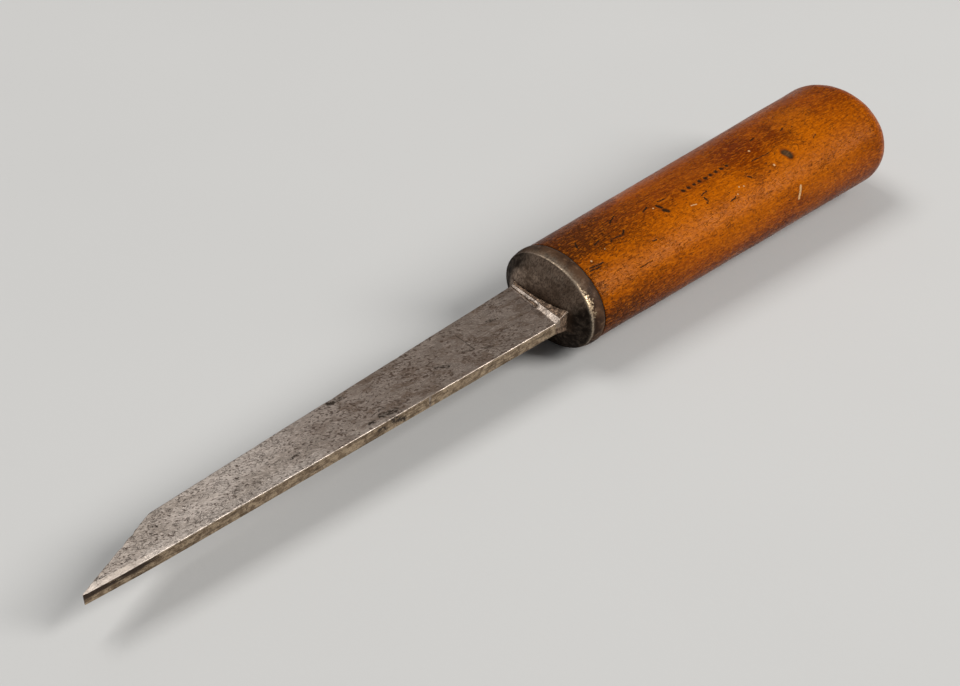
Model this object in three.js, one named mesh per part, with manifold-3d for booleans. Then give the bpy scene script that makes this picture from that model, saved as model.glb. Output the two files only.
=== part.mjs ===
// Oval-bolstered mortise chisel lying on its side.
// Millimetres, +X from the cutting edge to the butt of the handle, +Z up.
// Lengths along the tool are counted from the rim plane: the front edge of the bolster's rim.

import * as THREE from 'three';
import { mergeVertices } from 'three/addons/utils/BufferGeometryUtils.js';
import Module from 'manifold-3d';

const wasm = await Module();
wasm.setup();

// ---- driving dimensions ----

// The blade tapers in depth: its front (cutting) edge face and its back edge face are nearly straight lines.
const bladeLength = 166;
const frontAtRim = -11.29;
const frontSlope = -0.0198;
const backAtRim = 11.43;
const backSlope = 0.0453;
const bevelLength = 27.3;

// The blade is a little thinner towards its back edge, which frees it in a deep mortise.
const halfThickness = 1.87;
const sideTaper = 0.0112;

// The front face rolls away slightly over the last stretch before the cutting edge.
const dubLength = 27;
const dubDepth = 0.65;
const dubSteps = 4;
const edgeLand = 0.25;

// Hard steel is laid along the front of the softer body and ends in a long scarf.
const steelDepth = 3;
const steelEnd = -56;
const scarfLength = 24;

// The blade swells into a shoulder which sits in the bolster.
const shoulderStart = -8.2;
const shoulderRidge = -6.3;
const shoulderFull = -3.2;
const shoulderSeat = -0.6;
const shoulderRiseUp = 2.1;
const shoulderRiseDown = 1.1;
const shoulderBackUp = 1.2;
const shoulderBackDown = 0.6;
const ridgeShare = 0.45;

const tangEnd = 100;
const tangHalfDepth = [6, 2.2];
const tangHalfHeight = [4.8, 1.7];

// The bolster and the handle are ovals of one proportion.
const ovalRatio = 0.808;
const rimFrontRadius = 18.45;
const rimBackRadius = 18.9;
const rimThickness = 4.7;
const rimEdgeRadius = 0.6;
const domeHeight = 4.6;
const domePower = 3;
const domeRings = 7;

const washerThickness = 0.5;
const washerRadius = 18.55;
const washerHoleRadius = 9;

const handleLength = 140;
const handleFrontRadius = 18.65;
const handleBackRadius = 21.45;
const buttRounding = 10.5;
const buttRings = 7;

const pocketClearance = 0.15;
const tangClearance = 0.4;
const socketExtra = 4;

// Ovals are faceted, with a facet and not a corner at the bottom, so that the tool lies still.
const roundSegments = 48;

// Cutting shapes reach past what they cut by this much.
const cutMargin = 1;

const rimBack = rimThickness;
const washerBack = rimBack + washerThickness;
const buttEnd = washerBack + handleLength;
const buttStart = buttEnd - buttRounding;

// ---- helpers ----

const frontY = (x) => frontAtRim + frontSlope * x;
const backY = (x) => backAtRim + backSlope * x;
const sideZ = (y) => halfThickness - sideTaper * y;
const between = (pair, share) => pair[0] + (pair[1] - pair[0]) * share;
const handleRadii = [handleFrontRadius, handleBackRadius];
const handleRadius = (x) => between(handleRadii, (x - washerBack) / handleLength);

function toSolid(geometry) {
  const bare = geometry.clone();
  bare.deleteAttribute('normal');
  bare.deleteAttribute('uv');
  const merged = mergeVertices(bare, 1e-4);
  return new wasm.Manifold(new wasm.Mesh({
    numProp: 3,
    vertProperties: new Float32Array(merged.attributes.position.array),
    triVerts: new Uint32Array(merged.index.array),
  }));
}

function toGeometry(solid) {
  const mesh = solid.getMesh();
  const geometry = new THREE.BufferGeometry();
  geometry.setAttribute('position', new THREE.BufferAttribute(new Float32Array(mesh.vertProperties), 3));
  geometry.setIndex(new THREE.BufferAttribute(new Uint32Array(mesh.triVerts), 1));
  geometry.computeVertexNormals();
  return geometry;
}

// A bar with given half sizes at each of its stations along X: corner(share, side, top) gives y and z.
function barThrough(stations, corner) {
  const geometry = new THREE.BoxGeometry(1, 2, 2, stations.length - 1, 1, 1);
  const places = geometry.attributes.position;
  for (let i = 0; i < places.count; i += 1) {
    const station = Math.round((places.getX(i) + 0.5) * (stations.length - 1));
    const [y, z] = corner(station, Math.sign(places.getY(i)), Math.sign(places.getZ(i)));
    places.setXYZ(i, stations[station], y, z);
  }
  return geometry;
}

// An oval body along X: the profile holds [x, half width] pairs and the height follows the oval ratio.
function ovalTurned(profile) {
  const outline = profile.map(([x, radius]) => new THREE.Vector2(radius, x));
  const geometry = new THREE.LatheGeometry(outline, roundSegments, Math.PI / roundSegments);
  geometry.rotateZ(-Math.PI / 2);
  geometry.scale(1, 1, ovalRatio);
  return geometry;
}

// A slice of the blade: an outline in the XY plane given the blade's tapering thickness.
function bladeSlice(outline) {
  const geometry = new THREE.ExtrudeGeometry(new THREE.Shape(outline), { depth: 2, bevelEnabled: false });
  const places = geometry.attributes.position;
  for (let i = 0; i < places.count; i += 1) {
    const side = Math.sign(places.getZ(i) - 1);
    places.setZ(i, side * sideZ(places.getY(i)));
  }
  return geometry;
}

function piece(name, geometry, colour, roughness, metalness) {
  const material = new THREE.MeshStandardMaterial({ color: colour, roughness, metalness });
  const mesh = new THREE.Mesh(geometry, material);
  mesh.name = name;
  return mesh;
}

// ---- the blade's outline ----

const heelX = -bladeLength + bevelLength;
const edgeX = -bladeLength;

function dubbedFrontY(x) {
  const share = Math.max(0, (edgeX + dubLength - x) / dubLength);
  return frontY(x) + dubDepth * share ** 2;
}

const edgeY = dubbedFrontY(edgeX);
const bevelRun = (backY(heelX) - edgeY - edgeLand) / bevelLength;
const steelInnerY = (x) => frontY(x) + steelDepth;

// The steel's inner line meets the bevel where both have the same y.
const innerOnBevelX = edgeX
  + (steelInnerY(edgeX) - edgeY - edgeLand) / (bevelRun - frontSlope);

const innerOnBevel = new THREE.Vector2(innerOnBevelX, steelInnerY(innerOnBevelX));
const innerAtScarf = new THREE.Vector2(steelEnd - scarfLength, steelInnerY(steelEnd - scarfLength));
const scarfTip = new THREE.Vector2(steelEnd, frontY(steelEnd));

// ---- pieces ----

function cuttingSteel() {
  const outline = [new THREE.Vector2(edgeX, edgeY + edgeLand)];
  for (let step = 0; step <= dubSteps; step += 1) {
    const x = edgeX + dubLength * step / dubSteps;
    outline.push(new THREE.Vector2(x, dubbedFrontY(x)));
  }
  outline.push(scarfTip, innerAtScarf, innerOnBevel);
  return bladeSlice(outline);
}

function bladeBody() {
  const profile = bladeSlice([
    innerOnBevel,
    innerAtScarf,
    scarfTip,
    new THREE.Vector2(shoulderStart, frontY(shoulderStart)),
    new THREE.Vector2(shoulderStart, backY(shoulderStart)),
    new THREE.Vector2(heelX, backY(heelX)),
  ]);
  const stations = [shoulderStart, shoulderRidge, shoulderFull, shoulderSeat];
  const rise = [0, ridgeShare, 1, 1];
  const shoulder = barThrough(stations, (station, side, top) => {
    const y = side < 0 ? frontY(stations[station]) : backY(stations[station]);
    const nearRise = top > 0 ? shoulderRiseUp : shoulderRiseDown;
    const backRise = top > 0 ? shoulderBackUp : shoulderBackDown;
    const growth = rise[station] * (side < 0 ? nearRise : backRise);
    return [y, top * (sideZ(y) + growth)];
  });
  const tang = barThrough([shoulderSeat, tangEnd], (station, side, top) => (
    [side * tangHalfDepth[station], top * tangHalfHeight[station]]
  ));
  return toGeometry(toSolid(profile).add(toSolid(shoulder)).add(toSolid(tang)));
}

function tangHole(from, to, clearance) {
  const share = (x) => (x - shoulderSeat) / (tangEnd - shoulderSeat);
  const stations = [from, to];
  return toSolid(barThrough(stations, (station, side, top) => [
    side * (between(tangHalfDepth, share(stations[station])) + clearance),
    top * (between(tangHalfHeight, share(stations[station])) + clearance),
  ]));
}

function bolster() {
  const profile = [];
  for (let ring = 0; ring <= domeRings; ring += 1) {
    const share = ring / domeRings;
    profile.push([-domeHeight * (1 - share ** domePower), (rimFrontRadius - rimEdgeRadius) * share]);
  }
  profile.push([rimEdgeRadius, rimFrontRadius]);
  profile.push([rimBack, rimBackRadius]);
  profile.push([rimBack, 0]);
  const pocketY = [
    frontY(shoulderSeat) - pocketClearance,
    backY(shoulderSeat) + pocketClearance,
  ];
  const pocketStations = [-domeHeight - cutMargin, shoulderSeat];
  const pocket = toSolid(barThrough(pocketStations, (station, side, top) => {
    const y = side < 0 ? pocketY[0] : pocketY[1];
    const nearRise = top > 0 ? shoulderRiseUp : shoulderRiseDown;
    const backRise = top > 0 ? shoulderBackUp : shoulderBackDown;
    const growth = side < 0 ? nearRise : backRise;
    return [y, top * (sideZ(y) + growth + pocketClearance)];
  }));
  const hole = tangHole(shoulderSeat - cutMargin, rimBack + cutMargin, tangClearance);
  return toGeometry(toSolid(ovalTurned(profile)).subtract(pocket).subtract(hole));
}

function leatherWasher() {
  return ovalTurned([
    [rimBack, washerHoleRadius],
    [rimBack, washerRadius],
    [washerBack, washerRadius],
    [washerBack, washerHoleRadius],
    [rimBack, washerHoleRadius],
  ]);
}

function handle() {
  const profile = [[washerBack, 0], [washerBack, handleFrontRadius]];
  for (let ring = 0; ring <= buttRings; ring += 1) {
    const angle = (Math.PI / 2) * (ring / buttRings);
    const x = buttStart + buttRounding * Math.sin(angle);
    profile.push([x, handleRadius(x) - buttRounding * (1 - Math.cos(angle))]);
  }
  profile.push([buttEnd, 0]);
  const socket = tangHole(washerBack - cutMargin, tangEnd + socketExtra, tangClearance);
  return toGeometry(toSolid(ovalTurned(profile)).subtract(socket));
}

// ---- assembly: the origin is under the middle of the whole tool, at its lowest point ----

const chisel = new THREE.Group();
chisel.add(piece('blade_body', bladeBody(), 0x6f6b66, 0.55, 0.9));
chisel.add(piece('cutting_steel', cuttingSteel(), 0x8a8782, 0.4, 0.9));
chisel.add(piece('bolster', bolster(), 0x4a4541, 0.6, 0.9));
chisel.add(piece('leather_washer', leatherWasher(), 0x2a1c12, 0.8, 0));
chisel.add(piece('handle', handle(), 0xb0622a, 0.45, 0));
const lowestFacet = handleRadius(buttStart) * ovalRatio * Math.cos(Math.PI / roundSegments);
chisel.position.set((bladeLength - buttEnd) / 2, 0, lowestFacet);

export default chisel;
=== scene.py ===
"""An old oval-bolstered mortise chisel lying on its side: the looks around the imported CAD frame.

Shapes are worked out in tool millimetres. x runs along the tool from the bolster's rim plane to the butt,
y and z are measured from the tool's axis, and angles go round the tool from the near side (-Y) over the top.
"""
import math

import bmesh
import bpy
import numpy as np
from mathutils import Matrix, Vector, noise

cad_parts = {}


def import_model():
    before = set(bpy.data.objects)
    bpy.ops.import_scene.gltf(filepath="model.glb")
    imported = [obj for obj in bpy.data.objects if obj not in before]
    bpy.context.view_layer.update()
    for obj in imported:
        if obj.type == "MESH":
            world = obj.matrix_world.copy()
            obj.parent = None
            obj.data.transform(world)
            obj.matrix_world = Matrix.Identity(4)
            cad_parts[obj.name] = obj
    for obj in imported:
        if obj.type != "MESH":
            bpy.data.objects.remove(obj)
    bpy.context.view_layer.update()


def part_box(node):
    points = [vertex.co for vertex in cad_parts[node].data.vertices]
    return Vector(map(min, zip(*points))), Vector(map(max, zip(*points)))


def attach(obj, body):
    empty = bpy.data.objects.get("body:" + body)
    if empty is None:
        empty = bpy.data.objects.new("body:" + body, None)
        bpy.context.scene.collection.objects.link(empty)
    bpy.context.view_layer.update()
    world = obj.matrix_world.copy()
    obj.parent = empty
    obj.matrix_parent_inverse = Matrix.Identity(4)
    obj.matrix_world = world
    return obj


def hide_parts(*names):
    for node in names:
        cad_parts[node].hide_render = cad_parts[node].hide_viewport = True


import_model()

MM = 0.001

# -------- places taken from the CAD

HANDLE_LOW, HANDLE_HIGH = (np.array(corner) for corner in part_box("handle"))
STEEL_LOW, STEEL_HIGH = (np.array(corner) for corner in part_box("cutting_steel"))
BOLSTER_LOW, BOLSTER_HIGH = (np.array(corner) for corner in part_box("bolster"))

RIM_THICKNESS = 4.7
RIM_X = BOLSTER_HIGH[0] - RIM_THICKNESS * MM
AXIS_Z = 0.5 * (HANDLE_LOW[2] + HANDLE_HIGH[2])
EDGE_X = (STEEL_LOW[0] - RIM_X) / MM
STEEL_END = (STEEL_HIGH[0] - RIM_X) / MM
DOME_HEIGHT = (RIM_X - BOLSTER_LOW[0]) / MM
WOOD_START = (HANDLE_LOW[0] - RIM_X) / MM
BUTT_END = (HANDLE_HIGH[0] - RIM_X) / MM

# -------- driving dimensions, in millimetres and degrees

OVAL_RATIO = 0.808

FRONT_AT_RIM, FRONT_SLOPE = -11.29, -0.0198
BACK_AT_RIM, BACK_SLOPE = 11.43, 0.0453
HALF_THICKNESS, SIDE_TAPER = 1.87, 0.0112
BEVEL_LENGTH = 27.3
DUB_LENGTH, DUB_DEPTH = 27.0, 0.65
EDGE_LAND = 0.25
STEEL_DEPTH, SCARF_LENGTH = 3.0, 24.0

# The shoulder's three lines, each from the near end to the far end of the blade's side.
SHOULDER_START = (-8.2, -5.3)
SHOULDER_RIDGE = (-6.3, -4.5)
SHOULDER_FULL = (-3.2, -2.8)
RIDGE_RISE = (0.95, 0.54)
FULL_RISE = (2.1, 1.2)
UNDERSIDE_SHARE = 0.52
SHOULDER_SEAT = -0.6
FLAT_END = -12.0

TANG_END = 100.0
TANG_HALF_DEPTH = (6.0, 2.2)
TANG_HALF_HEIGHT = (4.8, 1.7)
SOCKET_CLEARANCE = 0.4
SOCKET_EXTRA = 4.0
POCKET_CLEARANCE = 0.1

# Half widths across Y; OVAL_RATIO gives the heights.
RIM_FRONT, RIM_BACK = 18.45, 18.9
DOME_POWER = 3.0
RIM_ROUNDING, RIM_SWELL = 0.55, 0.22
BACK_EDGE = 0.35
EDGE_WEAR = 0.42
WORN_TURN, WORN_SPAN = 31.0, 22.0

WASHER_RADIUS, WASHER_HOLE_RADIUS = 18.5, 9.0
WASHER_BULGE = 0.25

WOOD_FRONT, WOOD_BACK = 18.65, 21.45
FRONT_ROUNDING, BUTT_ROUNDING = 0.45, 10.5

# Layers of unevenness: depth and size of lump, and the seed of its noise.
BLADE_LUMPS = ((0.07, 17.0, 3), (0.022, 3.0, 4))
BOLSTER_LUMPS = ((0.09, 6.5, 11), (0.03, 1.8, 12))
WOOD_LUMPS = ((0.10, 16.0, 31), (0.03, 4.0, 32))
BUTT_LUMPS = ((0.14, 5.0, 33), (0.04, 1.6, 34))

# -------- small helpers


def world(points):
    """Tool millimetres to metres in the row frame."""
    return np.asarray(points, float) * MM + np.array([RIM_X, 0.0, AXIS_Z])


def mix(pair, share):
    return pair[0] + (pair[1] - pair[0]) * share


def smooth(share):
    """0 below 0, 1 above 1 and an even S between."""
    share = np.clip(share, 0.0, 1.0)
    return share * share * (3.0 - 2.0 * share)


def rough(points, scale, seed):
    """Smooth noise from about -1 to 1 at each point; scale is the size of its lumps in millimetres."""
    shift = Vector((seed * 17.3, seed * 5.1, seed * 9.7))
    flat = np.asarray(points, float).reshape(-1, 3) / scale
    values = [noise.noise(Vector(place) + shift) for place in flat]
    return np.array(values).reshape(np.asarray(points).shape[:-1])


def uneven(points, layers):
    """Heights at each point from layers of noise."""
    return sum(depth * rough(points, scale, seed) for depth, scale, seed in layers)


def full_turn(count):
    return np.linspace(0.0, 2.0 * math.pi, count, endpoint=False)


def quarter_turn(steps):
    return np.linspace(0.0, math.pi / 2, steps + 1)


def oval(x, radius, turns):
    """A ring of points round the axis: x and radius may be numbers or one value for each angle."""
    points = np.empty((len(turns), 3))
    points[:, 0] = x
    points[:, 1] = -radius * np.cos(turns)
    points[:, 2] = radius * np.sin(turns) * OVAL_RATIO
    return points


def box_ring(x, low, high, turns):
    """A ring of points on a rectangle, where rays at the oval's angles meet it."""
    run = -np.cos(turns)
    climb = np.sin(turns) * OVAL_RATIO
    centre = 0.5 * (np.array(low) + np.array(high))
    half = 0.5 * (np.array(high) - np.array(low))
    reach = np.minimum(half[0] / np.maximum(np.abs(run), 1e-9), half[1] / np.maximum(np.abs(climb), 1e-9))
    return np.stack([np.full(len(turns), x), centre[0] + run * reach, centre[1] + climb * reach], 1)


def skin(name, rings, closed=False, marks=None):
    """A closed mesh through rings of points. Open runs of rings are capped at both ends."""
    rings = np.asarray(rings)
    count, around = rings.shape[:2]
    vertices = [tuple(place) for place in world(rings.reshape(-1, 3))]
    faces = []
    last = count if closed else count - 1
    for ring in range(last):
        here = ring * around
        there = ((ring + 1) % count) * around
        for step in range(around):
            after = (step + 1) % around
            faces.append((here + step, here + after, there + after, there + step))
    if not closed:
        for ring, flip in ((0, True), (count - 1, False)):
            centre = len(vertices)
            vertices.append(tuple(world(rings[ring].mean(0))))
            for step in range(around):
                after = (step + 1) % around
                edge = (ring * around + step, ring * around + after)
                faces.append((edge[1], edge[0], centre) if flip else (edge[0], edge[1], centre))
    mesh = bpy.data.meshes.new(name)
    mesh.from_pydata(vertices, [], faces)
    if is_inside_out(mesh):
        mesh.flip_normals()
    for mark, values in (marks or {}).items():
        values = np.asarray(values, float).reshape(-1)
        spare = len(vertices) - len(values)
        layer = mesh.attributes.new(mark, "FLOAT", "POINT")
        layer.data.foreach_set("value", np.concatenate([values, np.zeros(spare)]).astype(np.float32))
    mesh.polygons.foreach_set("use_smooth", [True] * len(mesh.polygons))
    mesh.set_sharp_from_angle(angle=math.radians(38))
    return new_object(name, mesh)


def new_object(name, data):
    thing = bpy.data.objects.new(name, data)
    bpy.context.collection.objects.link(thing)
    return thing


def is_inside_out(mesh):
    solid = bmesh.new()
    solid.from_mesh(mesh)
    volume = solid.calc_volume(signed=True)
    solid.free()
    return volume < 0


# -------- the blade's lines

HEEL_X = EDGE_X + BEVEL_LENGTH


def front_y(x):
    share = np.clip((EDGE_X + DUB_LENGTH - x) / DUB_LENGTH, 0, None)
    return FRONT_AT_RIM + FRONT_SLOPE * x + DUB_DEPTH * share ** 2


def full_back_y(x):
    return BACK_AT_RIM + BACK_SLOPE * x


def bevel_y(x):
    edge = front_y(EDGE_X) + EDGE_LAND
    return edge + (full_back_y(HEEL_X) - edge) * (x - EDGE_X) / BEVEL_LENGTH


# Small nicks in the bevel's edge and the blade's back: place along the blade, half length, depth.
BACK_NICKS = ((-150.2, 1.1, 0.28), (-146.0, 0.8, 0.36), (-143.6, 0.5, 0.14), (-155.5, 0.7, 0.12),
              (-121.0, 0.9, 0.12), (-77.0, 2.2, 0.16), (-52.0, 0.8, 0.08))
HEEL_SOFTNESS = 0.05


def back_y(x):
    """The back edge and the bevel, which meet at a slightly rounded heel."""
    straight, ground = full_back_y(x), bevel_y(x)
    half_gap = 0.5 * (straight - ground)
    y = 0.5 * (straight + ground) - np.sqrt(half_gap ** 2 + HEEL_SOFTNESS ** 2)
    for place, half, depth in BACK_NICKS:
        y = y - depth * np.exp(-((x - place) / half) ** 2)
    return np.maximum(y, front_y(x) + EDGE_LAND)


def steel_back_y(x):
    """The inner side of the laid steel, which ends in a scarf."""
    inner = FRONT_AT_RIM + FRONT_SLOPE * x
    depth = STEEL_DEPTH * np.clip((STEEL_END - x) / SCARF_LENGTH, 0.0, 1.0)
    return inner + depth


def shoulder_rise(y):
    """How far the seated shoulder stands above the blade's flat side."""
    across = np.clip((y - FRONT_AT_RIM) / (BACK_AT_RIM - FRONT_AT_RIM), 0.0, 1.0)
    return mix(FULL_RISE, across)


def side_z(y):
    return HALF_THICKNESS - SIDE_TAPER * y


def on_side(x, y):
    """A point of the blade's upper side."""
    return x, y, side_z(y)


def on_near_face(x, z):
    """A point of the blade's near narrow face."""
    return x, front_y(x), z


# -------- blade pieces

STRIP_STEPS, FLAT_STEPS, NARROW_STEPS, CORNER_STEPS = 5, 38, 9, 3
STRIP_WIDTH, STRIP_DROP, STRIP_LENGTH = 1.9, 0.16, 62.0
ARRIS_ROUNDING, UNDER_ROUNDING, BACK_ROUNDING = 0.28, 0.08, 0.16
SEAM_ROUNDING = 0.03

# The file's bright strip across the shoulder: shares across the blade from near to far, and along the ramp.
FILED_RUNS = ((0.0, 0.42, 0.0, 0.95), (0.42, 0.60, 0.62, 1.0), (0.60, 1.0, 0.30, 1.0))
FILED_SOFTNESS = 0.03


def strip_width(x):
    """The honed strip beside the near arris: wide at the tip, only the arris itself further up."""
    return STRIP_WIDTH * (1.0 - smooth((x - EDGE_X) / STRIP_LENGTH))


def half_section(near, far, near_round, far_round, strip):
    """Points (y, drop below the flat side) from the near narrow face over one side to the far one."""
    points = [(near + near_round * (1 - math.cos(a)), near_round * (1 - math.sin(a)))
              for a in quarter_turn(CORNER_STEPS)]
    inner = near + max(strip, near_round + 0.02)
    inner = min(inner, near + 0.85 * (far - near))
    for share in np.linspace(0.0, 1.0, STRIP_STEPS + 1)[1:]:
        points.append((mix((near + near_round, inner), share), 0.0))
    for share in np.linspace(0.0, 1.0, FLAT_STEPS + 1)[1:]:
        points.append((mix((inner, far - far_round), share), 0.0))
    for angle in quarter_turn(CORNER_STEPS)[-2::-1]:
        points.append((far - far_round * (1 - math.cos(angle)), far_round * (1 - math.sin(angle))))
    points = np.array(points)
    slope = STRIP_DROP * min(1.0, strip / STRIP_WIDTH)
    points[:, 1] += slope * np.clip(1.0 - (points[:, 0] - near) / max(strip, 1e-6), 0.0, 1.0)
    return points


def bar_ring(lines, near, far, near_round, far_round, rises=(0.0, 0.0), strip=0.0):
    """One section of the blade as a ring. lines and rises hold a value for the near and for the far end."""
    depth = far - near
    near_round, far_round = min(near_round, 0.25 * depth), min(far_round, 0.25 * depth)
    sides = []
    under_round = min(near_round, UNDER_ROUNDING)
    for side, share, arris in ((1.0, 1.0, near_round), (-1.0, UNDERSIDE_SHARE, under_round)):
        half = half_section(near, far, arris, far_round, strip)
        across = (half[:, 0] - near) / depth
        height = side_z(half[:, 0]) + share * mix(rises, across) - half[:, 1]
        points = np.stack([mix(lines, across), half[:, 0], side * height], 1)
        sides.append(points if side > 0 else points[::-1])
    over, under = sides
    far_side = np.linspace(over[-1], under[0], NARROW_STEPS + 2)[1:-1]
    near_side = np.linspace(under[-1], over[0], NARROW_STEPS + 2)[1:-1]
    return np.concatenate([over, far_side, under, near_side])


def weathered(rings):
    """Old forging: broad unevenness and a finer ripple, moving points out of the blade's flat sides."""
    rings = np.array(rings)
    rings[..., 2] += np.sign(rings[..., 2]) * uneven(rings, BLADE_LUMPS)
    return rings


def blade_marks(rings):
    """Where the blade is bright from honing, brown with age, narrow-faced or freshly filed."""
    x, y, z = rings[..., 0], rings[..., 1], rings[..., 2]
    near = y - front_y(x)
    narrow = (near < 0.02) | (back_y(x) - y < 0.02)
    strip = (near < strip_width(x) + 0.03) & ~narrow
    arris = (near < ARRIS_ROUNDING * 0.9) & (near > 0.015) & (z > 0)
    worn = 0.3 + 0.35 * smooth(0.5 + 0.9 * rough(rings, 2.6, 7))
    strip_shine = 0.5 * smooth((HEEL_X + 6.0 - x) / 24.0) + 0.25
    far_arris = (back_y(x) - y < BACK_ROUNDING * 0.9) & (back_y(x) - y > 0.015) & (z > 0)
    honed = np.maximum(strip_shine * strip, worn * np.maximum(arris, 0.6 * far_arris))
    stain = narrow * smooth((EDGE_X + 30.0 - x) / 14.0) * smooth((z + 0.5) / 0.9)
    age = smooth((x - EDGE_X) / 140.0)
    return {"honed": honed, "age": age, "narrow": 1.0 * narrow, "stain": stain}


OFF_RAMP = -1.0


def filed_strip(across, up):
    """1 where the file has left the shoulder bright: across the blade and up the ramp, both from 0 to 1."""
    bright = np.zeros(np.broadcast(across, up).shape)
    for near, far, low, high in FILED_RUNS:
        inside = smooth((across - near) / FILED_SOFTNESS + 0.5)
        inside = inside * smooth((far - across) / FILED_SOFTNESS + 0.5)
        bright = np.maximum(bright, inside * (up >= low) * (up <= high))
    return bright * (up > OFF_RAMP)


def shoulder_stations():
    """Slanting lines from the blade's flat to the shoulder's seat: lines, rises, share up the ramp, rust."""
    flat, seat = (FLAT_END, FLAT_END), (SHOULDER_SEAT, SHOULDER_SEAT)
    none = (0.0, 0.0)
    runs = (
        (flat, SHOULDER_START, none, none, 10, None, 0.0),
        (SHOULDER_START, SHOULDER_RIDGE, none, RIDGE_RISE, 14, 0.0, 0.0),
        (SHOULDER_RIDGE, SHOULDER_FULL, RIDGE_RISE, FULL_RISE, 12, None, 1.0),
        (SHOULDER_FULL, seat, FULL_RISE, FULL_RISE, 4, None, 1.0),
    )
    for start, end, low, high, steps, ramp, rust in runs:
        for share in np.linspace(0.0, 1.0, steps + 1)[1:]:
            lines = tuple(mix(pair, share) for pair in zip(start, end))
            rises = tuple(mix(pair, share) for pair in zip(low, high))
            yield lines, rises, OFF_RAMP if ramp is None else share, rust


def blade_body():
    start = EDGE_X
    while back_y(start) - steel_back_y(start) < 0.05:
        start += 0.05
    stations = np.concatenate([
        np.linspace(start, HEEL_X - 2.0, 60)[:-1],
        np.linspace(HEEL_X - 2.0, HEEL_X + 2.0, 24)[:-1],
        np.linspace(HEEL_X + 2.0, FLAT_END, 240),
    ])
    rings = []
    for x in stations:
        near = max(steel_back_y(x) + 0.01, front_y(x))
        arris = mix((SEAM_ROUNDING, ARRIS_ROUNDING), smooth((x - STEEL_END) / 4.0))
        rings.append(bar_ring((x, x), near, back_y(x), arris, BACK_ROUNDING))
    ramp, rust = [OFF_RAMP] * len(rings), [0.0] * len(rings)
    for lines, rises, up, is_rust in shoulder_stations():
        near, far = front_y(lines[0]), back_y(lines[1])
        rings.append(bar_ring(lines, near, far, ARRIS_ROUNDING, BACK_ROUNDING, rises))
        ramp.append(up)
        rust.append(is_rust)
    rings = weathered(rings)
    turns = np.arctan2(rings[-1][:, 2] / OVAL_RATIO, -rings[-1][:, 1])
    hidden = []
    for share in (0.0, 1.0):
        half = (mix(TANG_HALF_DEPTH, share), mix(TANG_HALF_HEIGHT, share))
        x = mix((SHOULDER_SEAT + 0.02, TANG_END), share)
        hidden.append(box_ring(x, (-half[0], -half[1]), half, turns))
    rings = np.concatenate([rings, np.array(hidden)])
    marks = blade_marks(rings)
    across = (rings[..., 1] - FRONT_AT_RIM) / (BACK_AT_RIM - FRONT_AT_RIM)
    ragged = across + 0.012 * rough(rings, 1.1, 9)
    ramp = np.array(ramp + [OFF_RAMP, OFF_RAMP])[:, None]
    rust = np.array(rust + [1.0, 1.0])[:, None]
    marks["filed"] = filed_strip(ragged, ramp) * (rings[..., 2] > 0)
    marks["rust"] = np.maximum(rust, (ramp > OFF_RAMP) * (1.0 - marks["filed"]))
    return skin("blade_iron", rings, marks=marks)


def cutting_steel():
    stations = np.concatenate([
        np.linspace(EDGE_X, EDGE_X + 8.0, 40)[:-1],
        np.linspace(EDGE_X + 8.0, STEEL_END - 0.8, 260),
    ])
    rings = []
    for x in stations:
        near = front_y(x)
        meets_bevel = back_y(x) < steel_back_y(x)
        far = max(min(steel_back_y(x), back_y(x)), near + 0.08)
        far_round = BACK_ROUNDING if meets_bevel else SEAM_ROUNDING
        rings.append(bar_ring((x, x), near, far, ARRIS_ROUNDING, far_round, strip=strip_width(x)))
    rings = weathered(rings)
    return skin("laid_steel", rings, marks=blade_marks(rings))


# -------- bolster and washer

BOLSTER_AROUND = 288


def dome_x(points):
    """The bolster's domed front over each point."""
    spread = np.hypot(points[:, 1], points[:, 2] / OVAL_RATIO) / RIM_FRONT
    return -DOME_HEIGHT * (1.0 - np.clip(spread, 0.0, 1.0) ** DOME_POWER)


def pocket_ring(x, turns):
    """The opening which the blade's shoulder fills, at one depth."""
    near = FRONT_AT_RIM - POCKET_CLEARANCE
    far = BACK_AT_RIM + POCKET_CLEARANCE
    ring = box_ring(x, (near, -4.0), (far, 4.0), turns)
    run, climb = -np.cos(turns), np.sin(turns) * OVAL_RATIO
    steepness = np.maximum(np.abs(climb), 1e-6)
    rise_share = np.where(climb > 0, 1.0, UNDERSIDE_SHARE)

    def limit(across):
        return side_z(across) + rise_share * shoulder_rise(across) + POCKET_CLEARANCE

    across = ring[:, 1].copy()
    for _ in range(12):
        meets = np.where(np.abs(climb) > 1e-6, run * limit(across) / steepness, run * 99)
        across = np.clip(meets, near, far)
    reach = np.minimum(np.abs(across) / np.maximum(np.abs(run), 1e-6), limit(across) / steepness)
    ring[:, 1] = run * reach
    ring[:, 2] = climb * reach
    return ring


def tang_ring(x, turns):
    share = (x - SHOULDER_SEAT) / (TANG_END - SHOULDER_SEAT)
    half = np.array([mix(TANG_HALF_DEPTH, share), mix(TANG_HALF_HEIGHT, share)]) + SOCKET_CLEARANCE
    return box_ring(x, -half, half, turns)


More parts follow.
